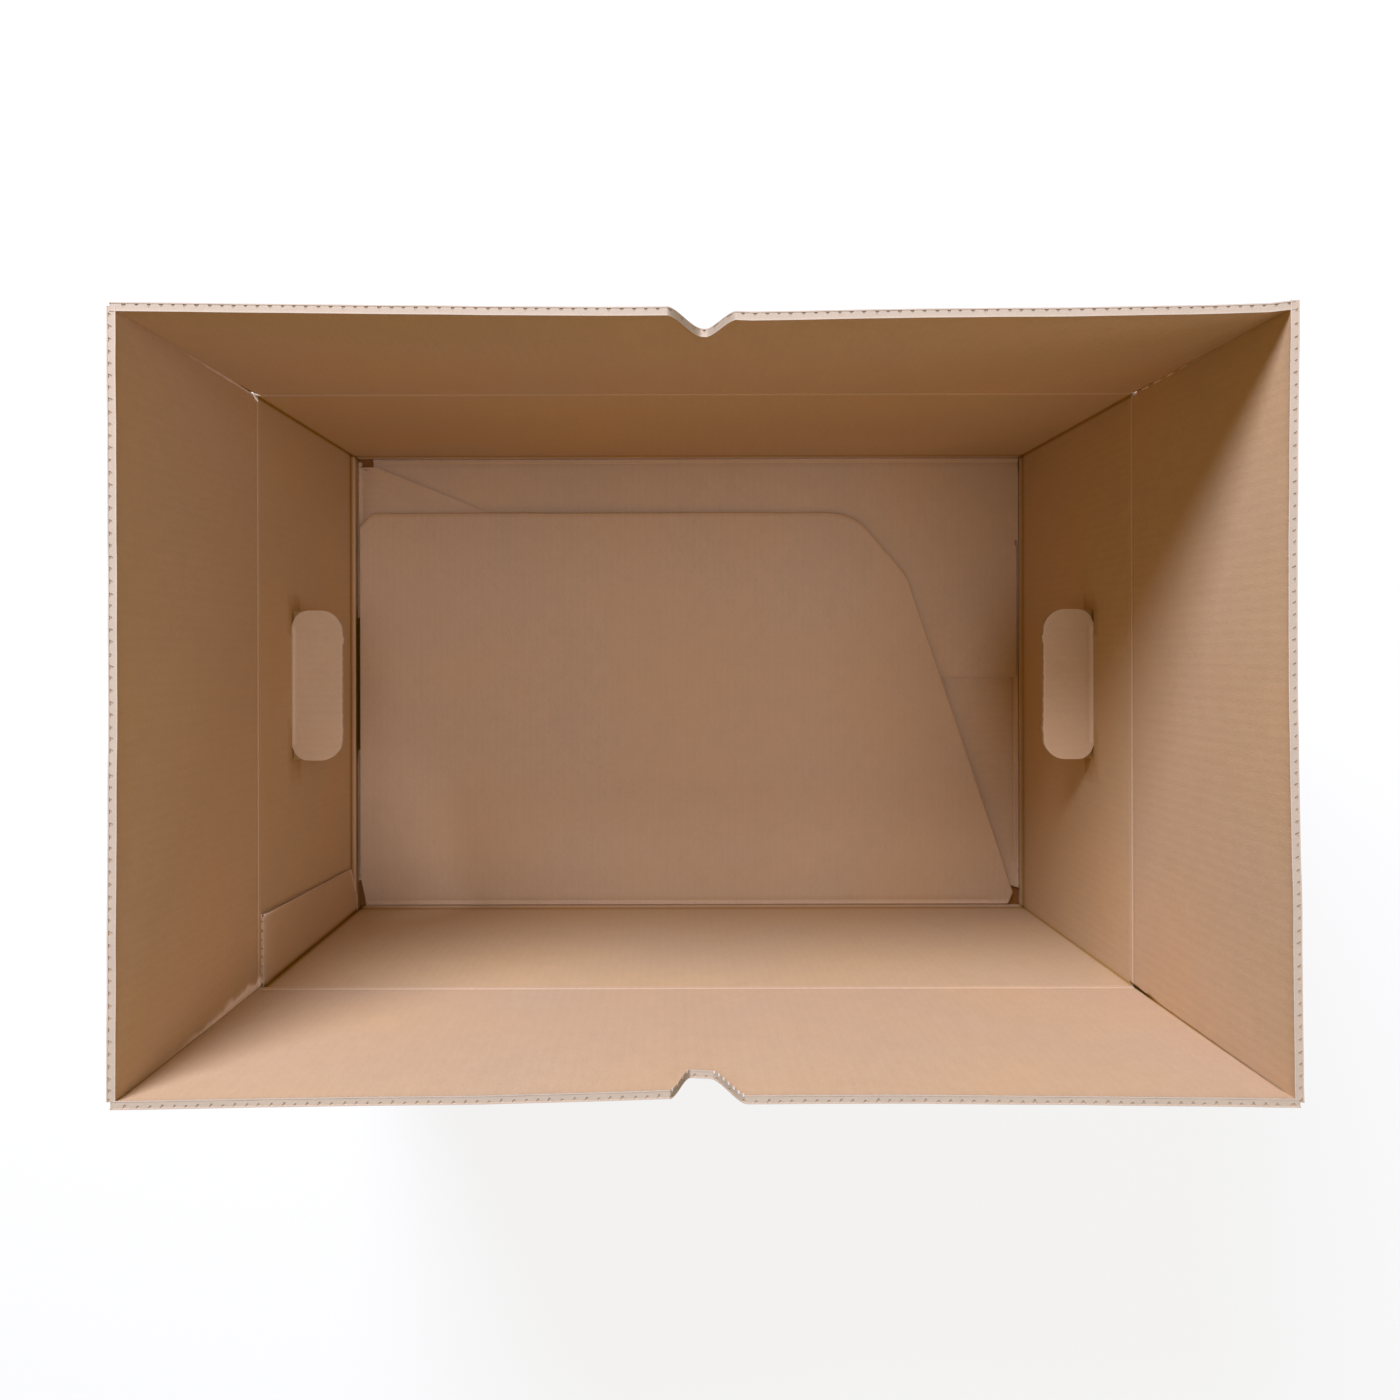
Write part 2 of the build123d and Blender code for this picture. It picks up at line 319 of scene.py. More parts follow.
kraft_colour = (0.58, 0.385, 0.218)
shaded_wall_colour = (0.575, 0.382, 0.202)    # the same liner as the flaps, painted a little browner as shade on the walls' inner face, deep in the carton
cut_colour = (0.47, 0.37, 0.262)
flute_colour = (0.50, 0.32, 0.165)
materials = [kraft("kraft_liner", kraft_colour, 0.82, 0.5, 1.0),
             kraft("cut_board", cut_colour, 0.92, 1.0, 0.0),
             kraft("fluting", flute_colour, 0.85, 0.6, 0.0),
             kraft("kraft_wall", shaded_wall_colour, 0.82, 0.5, 1.0)]


# Sides of the carton: s along the side, t the height, n inwards

def front_side(s, t, n):
    return s, -half_y + n, t


def back_side(s, t, n):
    return s, half_y - n, t


def left_side(s, t, n):
    return -half_x + n, s, t


def right_side(s, t, n):
    return half_x - n, s, t


# Top flaps

def crease_shift(t, n):
    """Bead along a crease on the inner face and the scored line on the outer one."""
    bead = 0.00035 * bump_at(t, 0, 0.0009) - 0.00022 * (bump_at(t, 0.0023, 0.001)
                                                        + bump_at(t, -0.0023, 0.001))
    score = 0.0008 * bump_at(t, 0, 0.0008) - 0.00012 * bump_at(t, 0.002, 0.0008)
    inner = n / board
    return inner * bead + (1 - inner) * score


def flap(name, side, half, crease, lean, ends, tips, clips, notch=None, serrated=False,
         dish=0.0, seed=1):
    """One flap. lean: (s, inward shift at the rim) pairs. ends: for the low and the high end
    the marks on the raw edge, each (mark strength, width, height above the crease, spacing of
    dashes or 0); positive marks are the pale raw edge, negative ones painted shade in the
    corner joints between the flaps. tips: how far the upper corners reach past the ends. clips:
    how far the lower corners are cut away. notch: (mouth, floor, floor, mouth, depth). dish: how
    far the middle of the flap is pressed in."""
    rise = rim - crease
    lean_s, lean_n = (np.array(v) for v in zip(*lean))

    def top(s):
        edge = rise + ripple(s, 0.00025, 0.07, seed) - 0.0002
        if notch:
            a, b, c, d, depth = notch
            left_slope = np.clip((s - a) / (b - a), 0, 1)
            right_slope = np.clip((d - s) / (d - c), 0, 1)
            f = np.minimum(left_slope, right_slope)
            edge = edge - depth * (0.3 * f + 0.7 * smooth(f))
        return edge

    def marks(s, t):
        """Pale raw edges and painted shade along the ends, and the relief that goes with them."""
        paint = np.zeros(np.broadcast(s, t).shape)
        relief = paint.copy()
        wobble = 1 + ripple(t, 0.3, 0.03, seed + 9)
        for here, terms in ((s < 0, ends[0]), (s >= 0, ends[1])):
            for wear, width, height, dashes in terms:
                from_end = np.abs(half - np.abs(s)) / (width * wobble)
                along = np.exp(-(np.clip(t, 0, 1) / height) ** 4) * here
                if dashes:
                    along = along * smooth(0.6 + np.sin(2 * np.pi * t / dashes))
                paint = paint + wear * np.exp(-from_end ** 4) * along
                bump = 0.00005 * wear if wear > 0 else -0.0005
                relief = relief + bump * np.exp(-((from_end - 0.55) / 0.3) ** 2) * along
        return paint, relief

    def place(s, t, n):
        u = np.clip(t / rise, 0, 1.2)
        inner = n / board
        inward = np.interp(s, lean_s, lean_n) * u ** 1.15
        inward = inward + ripple(s, 0.0003, 0.21, seed + 5) * np.sin(np.pi * np.clip(u, 0, 1))
        inward = inward + dish * bump_at(s, 0.02, 0.1) * np.clip(np.sin(np.pi * u), 0, 1) ** 0.7
        under_rim = np.clip(top(s) - t, 0, 1)
        inward = inward + 0.0008 * inner * np.exp(-under_rim / 0.002) \
            - 0.0006 * (1 - inner) * np.exp(-under_rim / 0.0012) + inner * marks(s, t)[1]
        near_end = np.clip((np.abs(s) - (half - 0.006)) / 0.006, 0, 1)
        reach = np.where(s < 0, tips[0], tips[1]) * smooth(1 - (rise - t) / 0.014)
        s = s + np.sign(s) * reach * near_end
        return side(s, crease + t, n + inward + crease_shift(t, n))

    def scuffs_and_painted_light(s, t):
        rim_wear = 0.4 * np.exp(-np.abs(top(s) - t) / 0.002)
        # paler rim, the marks along the ends, and a painted highlight along the crease bead
        return rim_wear + marks(s, t)[0] + 0.25 * bump_at(t, 0, 0.0012)

    fixed = [-lap, -0.0035, -0.0026, -0.0019, -0.0013, -0.0008, -0.0004, 0, 0.0004, 0.0008,
             0.0013, 0.0019, 0.0026, 0.0036, 0.005, 0.0065, 0.008]
    fixed += [round(v, 4) for v in np.arange(0.010, 0.0401, 0.002)]
    fixed += [round(v, 4) for v in np.arange(0.044, 0.1361, 0.004)]
    upper = 0.15
    share = np.array([0, 0.3, 0.55, 0.72, 0.84, 0.92, 0.965, 0.985, 1.0])

    def levels(s, rows, share):
        fixed_part = np.repeat(np.array(rows)[None], len(s), axis=0)
        return np.concatenate([fixed_part, upper + (top(s)[:, None] - upper) * share], axis=1)

    from_end = [0, 0.0003, small_clip, 0.0009, 0.0013, 0.0018, right_clip, 0.0029, clip,
                0.0041, 0.0046, 0.0052, 0.006, 0.009, 0.014]
    near_end = half - np.array(from_end)
    coarse = np.concatenate([np.linspace(-half, half, 49), near_end, -near_end])
    if notch:
        middle, mouth = (notch[0] + notch[3]) / 2, notch[3] - notch[0]
        over_notch = np.linspace(middle - 0.55 * mouth, middle + 0.55 * mouth, 91)
        coarse = np.concatenate([coarse, over_notch])
    coarse = np.unique(np.round(coarse, 6))

    mesh = Board()
    t = levels(coarse, fixed, share)
    middles = (coarse[:-1] + coarse[1:]) / 2
    outside = np.abs(middles) > half - np.where(middles < 0, *clips)
    # clipped lower corners: the rows there are drawn up along the slant
    cut = np.where(coarse < 0, *clips)
    along = np.clip((np.abs(coarse) - (half - cut)) / cut, 0, 1)
    slant = np.sqrt(along) * cut * slant_height
    in_clip = np.abs(coarse)[:, None] > half - cut[:, None] - 1e-7
    rows_apart = (t + lap) * 0.15
    drawn_up = np.maximum(t, slant[:, None] + rows_apart)
    t = np.where((t < slant_rows_top) & in_clip, drawn_up, t)
    first_kept = fixed.index(0)
    keep = np.ones((len(coarse) - 1, t.shape[1] - 1), bool)
    keep[outside, :first_kept] = False
    mesh.sheet(coarse, t, keep, 0, liner, place, wear=scuffs_and_painted_light)
    mesh.sheet(coarse, t, keep, board - liner, board, place, wear=scuffs_and_painted_light)

    # fluting: under the cut edge it is crushed against the inner liner, which leaves one
    # small opening a wave on the outer side
    fine = wave_columns(-half + 0.0004, half - 0.0004)
    t = levels(fine, [0.005, 0.05, 0.10], [0, 0.5, 0.9])
    edge = top(fine)
    crushed_rows = np.array([0.0030, 0.0016, 0.0008, 0.0002])
    t = np.concatenate([np.minimum(t, edge[:, None] - 0.0032), edge[:, None] - crushed_rows], axis=1)
    low, high = crushed_wave(fine, t, edge, seed)
    keep = np.ones((len(fine) - 1, t.shape[1] - 1), bool)
    mesh.sheet(fine, t, keep, low, high, place, slot=FLUTE)
    pressed_fill(mesh, coarse, top(coarse), place)
    if serrated:
        serration(mesh, notch, top, place)
    obj = mesh.make(name + "_board", materials)
    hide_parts(name)
    hinge = np.array(side(0.0, crease, 0.0))
    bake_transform(obj)
    return obj


def crushed_wave(fine, t, edge, seed):
    """Sides of the fluting, crushed against the inner liner below a cut edge."""
    crushed = smooth((t - (edge[:, None] - 0.0022)) / 0.0016)
    low, high = wave(fine)
    swing = np.sin(2 * np.pi * fine / pitch + ripple(fine, 0.5, 0.03, seed + 2))
    hollow = dot_depth * (1 + ripple(fine, 0.35, 0.019, seed + 3)) * np.clip(2 * swing - 1, 0, 1)
    return (low[:, None] + crushed * (liner + hollow - low)[:, None],
            high[:, None] + crushed * (board - liner - high)[:, None])


def pressed_fill(mesh, s, edge, place):
    """Crushed board that closes the openings of a cut edge a little below it, painted darker as the
    shade inside the openings.
    """
    t = edge[:, None] - np.array([0.0017, 0.0007])
    mesh.sheet(s, t, np.ones((len(s) - 1, 1), bool), liner, board - liner, place, slot=CUT,
               wear=lambda s, t: np.full(t.shape, -0.6))


def serration(mesh, notch, top, place):
    """Pale tufts of torn fibre along the sides of a notch, one a tooth of the cutting rule."""
    a, b, c, d, _ = notch
    for start, end in ((a, b), (c, d)):
        count = int(abs(end - start) / tooth)
        for middle in start + (np.arange(count) + 0.5) * (end - start) / count:
            s = middle + np.linspace(-0.0004, 0.0004, 5)
            rise = 0.0008 * np.cos(np.linspace(-1.3, 1.3, 5))
            t = top(s)[:, None] + np.stack([np.full(5, -0.0006), np.zeros(5), rise], axis=1)
            keep = np.ones((4, 2), bool)
            mesh.sheet(s, t, keep, board - 0.0007, board + 0.0003, place, slot=CUT,
                       wear=lambda s, t: np.full(t.shape, 4.0))


# In ends, negative marks are painted shade in the corner joints between the flaps; positive ones are
# the pale raw edges.
flap("front_flap", front_side, long_half, long_crease,
     [(-0.297, 1.3 * mm), (-0.2, 2.9 * mm), (-0.11, 3.8 * mm), (-0.05, 5.4 * mm),
      (-0.018, 6.3 * mm), (0.022, 3.6 * mm), (0.09, 3.9 * mm), (0.18, 3.0 * mm),
      (0.25, 2.1 * mm), (0.297, 1.4 * mm)],
     ends=([(-1.2, 0.9 * mm, 0.3, 0)], [(-1.6, 0.7 * mm, 0.19, 0)]),
     tips=(2.5 * mm, 2.7 * mm), clips=(small_clip, small_clip),
     notch=(-17.6 * mm, -7.0 * mm, 4.7 * mm, 20.6 * mm, 34 * mm), serrated=True, seed=3)
flap("back_flap", back_side, long_half, long_crease,
     [(-0.297, 1.3 * mm), (-0.2, 2.6 * mm), (-0.11, 3.7 * mm), (-0.05, 4.2 * mm),
      (-0.018, 4.0 * mm), (0.022, 6.8 * mm), (0.06, 6.2 * mm), (0.11, 5.4 * mm),
      (0.184, 5.0 * mm), (0.25, 4.0 * mm), (0.285, 3.1 * mm), (0.297, 1.6 * mm)],
     ends=([(-3.4, 1.9 * mm, 0.034, 6.5 * mm), (-0.9, 0.8 * mm, 0.2, 0)],
           [(-2.4, 1.2 * mm, 0.03, 9 * mm), (-0.8, 0.8 * mm, 0.2, 0)]),
     tips=(2.0 * mm, 0.8 * mm), clips=(clip, right_clip),
     notch=(-18.2 * mm, -0.2 * mm, 2.8 * mm, 16.5 * mm, 40 * mm), seed=11)
flap("left_flap", left_side, short_half, short_crease,
     [(-0.2, -0.6 * mm), (-0.1, 0.0), (0.0, 0.8 * mm), (0.1, 0.6 * mm), (0.2, 0.2 * mm)],
     ends=([(5.5, 5.4 * mm, 0.066, 0), (3.4, 2.8 * mm, 0.118, 0)], [(2.8, 1.3 * mm, 0.11, 0)]),
     tips=(-1.5 * mm, 0.6 * mm), clips=(small_clip, clip), dish=0.5 * mm, seed=17)
flap("right_flap", right_side, short_half, short_crease,
     [(-0.2, -1.0 * mm), (-0.193, -0.7 * mm), (-0.18, -0.5 * mm), (-0.1, 0.1 * mm),
      (-0.03, 1.5 * mm), (0.03, 2.1 * mm), (0.1, 1.8 * mm), (0.15, 1.2 * mm), (0.2, 0.6 * mm)],
     ends=([(-3.2, 2.0 * mm, 0.037, 0), (-1.8, 0.8 * mm, 0.17, 0)],
           [(3.4, 1.3 * mm, 0.085, 19 * mm)]),
     tips=(0.0, 2.4 * mm), clips=(small_clip, right_clip), dish=1.1 * mm, seed=23)


# Walls: one strip of board from the seam at the front left corner, round three folds

seam_radius = 2.4 * mm
hand_middle = 2.4 * mm     # along Y
hand_half = 55.5 * mm
hand_reach = 37 * mm
hand_radius = 16 * mm
hand_top = 186.4 * mm
hand_low = hand_top - hand_reach
hinge_half = 44 * mm
slit = 0.6 * mm            # beside a tongue's hinge
tongue_top = 188 * mm
slot_middle = -1.3 * mm    # slot in the fold at the foot of the left wall, along Y
slot_half = 59.25 * mm
slot_reach = 9.8 * mm


class Ring:
    """Plan of the walls as lines and arcs. at() turns places along the outer face and depths
    inwards into x and y."""

    def __init__(self):
        pi = math.pi
        seam = (-inner_x + seam_radius, -half_y + seam_radius)
        cx, cy = half_x - fold_radius, half_y - fold_radius
        self.parts = [("arc", seam, seam_radius, pi, 1.5 * pi),
                      ("line", (seam[0], -half_y), (cx, -half_y)),
                      ("arc", (cx, -cy), fold_radius, 1.5 * pi, 2 * pi),
                      ("line", (half_x, -cy), (half_x, cy)),
                      ("arc", (cx, cy), fold_radius, 0, 0.5 * pi),
                      ("line", (cx, half_y), (-cx, half_y)),
                      ("arc", (-cx, cy), fold_radius, 0.5 * pi, pi),
                      ("line", (-half_x, cy), (-half_x, -half_y + 0.9 * mm))]
        self.starts, total = [], 0.0
        for part in self.parts:
            self.starts.append(total)
            if part[0] == "arc":
                total += part[2] * (part[4] - part[3])
            else:
                total += math.dist(part[1], part[2])
        self.total = total

    def at(self, p, n):
        x, y = np.zeros(p.shape), np.zeros(p.shape)
        for start, end, part in zip(self.starts, self.starts[1:] + [self.total], self.parts):
            last = end == self.total
            here = (p >= start - 1e-9) & ((p < end - 1e-9) | last)
            f = (p[here] - start) / (end - start)
            if part[0] == "arc":
                angle = part[3] + f * (part[4] - part[3])
                r = np.maximum(part[2] - n[here], 0.00015)
                x[here] = part[1][0] + r * np.cos(angle)
                y[here] = part[1][1] + r * np.sin(angle)
            else:
                (ax, ay), (bx, by) = part[1:]
                size = math.dist((ax, ay), (bx, by))
                x[here] = ax + f * (bx - ax) - n[here] * (by - ay) / size
                y[here] = ay + f * (by - ay) + n[here] * (bx - ax) / size
        return x, y

    def columns(self):
        out = []
        for i, (start, part) in enumerate(zip(self.starts, self.parts)):
            end = (self.starts + [self.total])[i + 1]
            if part[0] == "arc":
                out.append(np.linspace(start, end, 7))
                continue
            out.append(np.linspace(start, end, 33 if i in (1, 5) else 23))
            for edge in (0.0005, 0.001, 0.0016, 0.0025, 0.005, 0.009):
                out.append(np.array([start + edge, end - edge]))
        return np.concatenate(out)


ring = Ring()


def hole_edges(y):
    """Lower and upper edge of a hand hole at y, level at both ends outside it."""
    cut = corner_cut(y - hand_middle, hand_half, hand_radius)
    return hand_low + cut, hand_top - cut


def walls(mesh):
    """The four walls with their hand holes, in one grid round the carton."""
    p = ring.columns()
    at_hand = np.concatenate([np.linspace(-hand_half, -hand_half + hand_radius, 12),
                              np.linspace(hand_half - hand_radius, hand_half, 12),
                              [-hinge_half, hinge_half]]) + hand_middle
    # where a flap's lap, which covers the wall's top edge, ends
    lap_ends = [small_clip - short_half, short_half - clip, short_half - right_clip]
    side_starts = {3: ring.starts[3], 7: ring.starts[7]}
    extra = []
    cy = half_y - fold_radius
    cx = half_x - fold_radius
    for y in list(at_hand) + lap_ends:
        extra += [side_starts[3] + y + cy, side_starts[7] + cy - y]
    for x in (-long_half + small_clip, long_half - small_clip):
        extra.append(ring.starts[1] + x - (-inner_x + seam_radius))
    for x in (clip - long_half, long_half - right_clip):
        extra.append(ring.starts[5] + cx - x)
    p = np.unique(np.round(np.concatenate([p, extra]), 6))

    x, y = ring.at(p, np.zeros(len(p)))
    long_part = np.zeros(len(p), bool)
    for i in (1, 5):
        long_part |= (p > ring.starts[i] - fold_radius * 0.8) & \
                     (p < ring.starts[i + 1] + fold_radius * 0.8)
    low, high = hole_edges(y)
    on_short = np.abs(np.abs(x) - half_x) < 1e-6
    ends = hole_edges(np.array([hand_middle + hand_half + 0.01]))
    low = np.where(on_short, low, ends[0])
    high = np.where(on_short, high, ends[1])
    crease = np.where(long_part, long_crease, short_crease)
    foot = [0, 0.0003, 0.0008, 0.0015, 0.0024, 0.0035, 0.005, 0.0065, 0.008, 0.0095, 0.0115,
            0.0135, 0.0155, 0.0175, 0.02, 0.0225, 0.025, 0.028, 0.032, 0.038, 0.06, 0.11]
    t = np.concatenate([np.repeat(np.array(foot)[None], len(p), axis=0), low[:, None],
                        high[:, None], np.full((len(p), 1), 0.1885), np.full((len(p), 1), 0.20),
                        np.full((len(p), 1), 0.235), crease[:, None] - lap,
                        crease[:, None] - 0.0003], axis=1)
    middle_x, middle_y = ring.at((p[:-1] + p[1:]) / 2, np.zeros(len(p) - 1))
    in_hole = (np.abs(np.abs(middle_x) - half_x) < 1e-6) & \
              (np.abs(middle_y - hand_middle) < hand_half)
    under_flap = (np.abs(middle_y + half_y) < 1e-6) & (np.abs(middle_x) < long_half - small_clip)
    under_flap |= (np.abs(middle_y - half_y) < 1e-6) \
        & (middle_x > clip - long_half) & (middle_x < long_half - right_clip)
    lap_end = short_half - np.where(middle_x < 0, clip, right_clip)
    under_flap |= (np.abs(np.abs(middle_x) - half_x) < 1e-6) \
        & (middle_y > small_clip - short_half) & (middle_y < lap_end)
    keep = np.ones((len(p) - 1, t.shape[1] - 1), bool)
    keep[in_hole, len(foot)] = False
    keep[under_flap, -1] = False

    # the walls' slight waviness fades out towards the folds
    fold_places, fold_fade = [], []
    for i in (1, 3, 5, 7):
        end = (ring.starts + [ring.total])[i + 1]
        fold_places += [ring.starts[i], ring.starts[i] + 0.06, end - 0.06, end]
        fold_fade += [0, 1, 1, 0]

    def place(s, t, n):
        fall = np.clip(foot_radius - t, 0, foot_radius)
        tuck = foot_radius - np.sqrt(foot_radius ** 2 - fall ** 2)
        inner = n / board
        on_left = s > ring.starts[7] - 0.001
        left_bead = 0.0012 * bump_at(t, 0.0165, 0.003) - 0.0004 * bump_at(t, 0.024, 0.003)
        other_bead = 0.0006 * bump_at(t, 0.006, 0.002) - 0.0003 * bump_at(t, 0.013, 0.004)
        bead = np.where(on_left, left_bead, other_bead)
        sag = ripple(s, 0.0004, 0.33, 41) * np.sin(np.pi * np.clip(t / long_crease, 0, 1))
        sag = sag * np.interp(s, fold_places, fold_fade)
        x, y = ring.at(s, n + tuck * (1 - inner) + bead * inner + sag)
        return x, y, t

    def scuffs_and_painted_light(s, t):
        fold = np.min([np.abs(s - (ring.starts[i] + ring.starts[i + 1]) / 2)
                       for i in (0, 2, 4, 6)], axis=0)
        return 0.35 * bump_at(fold, 0, 0.0012) + 0.4 * bump_at(t, 0.006, 0.0012)

    # Inner face of the walls: painted highlight on the bead at each wall's foot with painted shade
    # just above it, deeper painted shade low on the left wall over the slot, and painted shade
    # behind the tongues and down the inner corner folds and the seam.
    def painted_light_inside(s, t):
        on_left = s > ring.starts[7] - 0.001
        x, y = ring.at(s, np.zeros(s.shape))
        slot = smooth((slot_half + 1.25 * mm - np.abs(y - slot_middle)) / 0.002)
        left = 1.3 * bump_at(t, 0.0165, 0.0026) - 2.2 * bump_at(t, 0.026, 0.0036) \
            - (0.8 + 2.4 * slot) * bump_at(t, 0.005, 0.006)
        others = 0.7 * bump_at(t, 0.0055, 0.0026) - 1.0 * bump_at(t, 0.0145, 0.0042)
        total = np.where(on_left, left, others)
        # the wall behind the corners of the folded tongues lies in their shade
        from_middle = np.abs(y - hand_middle)
        beside_hand = smooth((from_middle - 0.036) / 0.003) * smooth((0.060 - from_middle) / 0.002)
        beside_hand = beside_hand * (np.abs(np.abs(x) - half_x) < 1e-6)
        total = total - 3.0 * beside_hand * bump_at(t, 0.178, 0.009)
        # painted shade down the inner corner folds and the seam
        for i, strength, width in ((0, -3.0, 0.0024), (2, -1.3, 0.001), (4, -2.0, 0.0012),
                                   (6, -2.2, 0.0012)):
            middle = (ring.starts[i] + ring.starts[i + 1]) / 2
            from_fold = np.clip(np.abs(s - middle) - fold_radius * math.pi / 4, 0, 1)
            total = total + strength * bump_at(from_fold, 0, width)
        return total

    mesh.sheet(p, t, keep, 0, liner, place, wear=scuffs_and_painted_light)
    # inner face: the browner painted-shade liner, with painted highlight and shade at the foot and
    # in the corners
    mesh.sheet(p, t, keep, board - liner, board, place, slot=SHADED_WALL, wear=painted_light_inside)

    keep = np.zeros(keep.shape, bool)
    keep[:, -1] = ~under_flap
    mesh.sheet(p, t, keep, liner, board - liner, place, slot=CUT)

    # fluting round the hand holes
    for start, sign in ((ring.starts[3], 1), (ring.starts[7], -1)):
        middle = start + cy + sign * hand_middle
        fine = wave_columns(middle - hand_half - 0.006, middle + hand_half + 0.006)
        low, high = hole_edges(ring.at(fine, np.zeros(len(fine)))[1])
        t = np.stack([np.full(len(fine), 0.135), low - 0.0003, high + 0.0003,
                      np.full(len(fine), 0.2)], axis=1)
        keep = np.ones((len(fine) - 1, 3), bool)
        inside = np.abs((fine[:-1] + fine[1:]) / 2 - middle) < hand_half + 0.0003
        keep[inside, 1] = False
        wave_low, wave_high = wave(fine)
        mesh.sheet(fine, t, keep, wave_low[:, None], wave_high[:, None], place, slot=FLUTE)


def two_liners(mesh, s, t, keep, place, wear=None):
    """Outer and inner liner over the same grid."""
    mesh.sheet(s, t, keep, 0, liner, place, wear=wear, cut=FLUTE)
    mesh.sheet(s, t, keep, board - liner, board, place, wear=wear, cut=FLUTE)


def free_edge_fluting(mesh, s_low, s_high, low_at, high_at, place, depth=0.02, crush=None,
                      cut=FLUTE):
    """Fluting in the last stretch before a free edge that cuts across it; crush: a seed,
    where the edge is pressed together."""
    fine = wave_columns(s_low + 0.0003, s_high - 0.0003)
    high = high_at(fine) - 0.0002
    low = np.maximum(low_at(fine) + 0.0004, high - depth)
    low = np.minimum(low, high - 0.0005)
    t = low[:, None] + (high - low)[:, None] * np.array([0, 0.5, 1.0])
    if crush is None:
        n_low, n_high = (v[:, None] for v in wave(fine))
    else:
        t = np.concatenate([t[:, :2], high[:, None] - np.array([0.0022, 0.0014, 0.0007, 0])], axis=1)
        n_low, n_high = crushed_wave(fine, t, high, crush)
    keep = np.ones((len(fine) - 1, t.shape[1] - 1), bool)
    mesh.sheet(fine, t, keep, n_low, n_high, place, slot=FLUTE, cut=cut)


def glue_tab(mesh):
    """Inside the left wall: s is y, t the height, n from the wall inwards."""
    start, end = -half_y + seam_radius, -half_y + 52 * mm
    clip_start, clip_end = -188.5 * mm, -160.5 * mm
    foot, clip_top, high_edge = 19 * mm, 42 * mm, short_crease - 4 * mm
    outline = [(start, foot - 0.4 * mm), (clip_start, foot), (clip_end, clip_top),
               (end, high_edge - 0.5 * mm)]
    s = np.unique(np.round(np.concatenate([np.linspace(start, start + 7 * mm, 9),
                                           np.linspace(start, clip_end, 55),
                                           np.linspace(clip_end, end, 25)]), 6))
    torn = ripple(s, 0.0006, 0.009, 51) + ripple(s, 0.0005, 0.0035, 54)
    low = np.interp(s, *zip(*outline)) + torn
    high = np.full(len(s), high_edge) + ripple(s, 0.0003, 0.02, 52)
    low = np.minimum(low, high - 0.0006)
    share = np.array([0, 0.01, 0.03, 0.1, 0.3, 0.6, 0.9, 0.98, 1.0])
    t = low[:, None] + (high - low)[:, None] * share

    def place(s, t, n):
        lift = 0.0009 * smooth((s - end + 0.03) / 0.03) * smooth((0.09 - t) / 0.07)
        pressed = 1 - 0.4 * np.exp(-np.clip(high_edge - t, 0, 1) / 0.005)
        return -inner_x + n * pressed + 0.00005 + lift, s, t

    def scuffs_and_painted_light(s, t):
        edge = np.minimum(t - np.interp(s, *zip(*outline)), (end - s) * 1.2)
        # corner: painted shade down the seam corner where the tab meets the front wall
        corner = -3.1 * (1 + ripple(t, 0.55, 0.017, 55)) * bump_at(s, start, 0.0026)
        return 3.2 * np.exp(-np.abs(edge) / 0.0014) + 1.0 * bump_at(t, short_crease, 0.006) + corner

    two_liners(mesh, s, t, np.ones((len(s) - 1, len(share) - 1), bool), place, scuffs_and_painted_light)
    free_edge_fluting(mesh, start, end - 0.0015, lambda v: np.interp(v, *zip(*outline)) + 0.001,
                      lambda v: np.full(len(v), high_edge), place, depth=0.03,
                      crush=53, cut=KRAFT)


overlap = 0.8 * mm         # bottom panels start this far inside the walls
minor_reach = 188 * mm


def fold_ridge(t, n):
    """Bead of crushed board beside a fold at the foot of a wall, on the inner face."""
    ridge = 0.0020 * bump_at(t, 0.0019, 0.0011) - 0.0009 * bump_at(t, 0.0046, 0.0011)
    return ridge * n / board


ridge_share = np.array([0, 0.0008, 0.0014, 0.0020, 0.0027, 0.0035, 0.0045, 0.0056, 0.0075,
                        0.011, 0.016, 0.025, 0.035, 0.045, 0.055])


def ridge_rows(low, high, tail):
    """Rows close together over the fold ridge, then spread to the free edge."""
    near = low[:, None] + ridge_share[None] * np.clip((high - low) / 0.08, 0, 1)[:, None]
    last = near[:, -1:]
    far = last + (high[:, None] - last) * np.array(tail)
    before_edge = (high - 0.0009 * (high > low + 0.01) - 1e-6)[:, None]
    return np.concatenate([near, far[:, :-1], before_edge, far[:, -1:]], axis=1)


def painted_fold_highlight(start):
    """Painted highlight: a pale line along the fold ridge of a panel whose rows begin at start."""
    def scuffs_and_painted_light(s, t):
        return 0.45 * bump_at(t, start + 0.0022, 0.001)
    return scuffs_and_painted_light


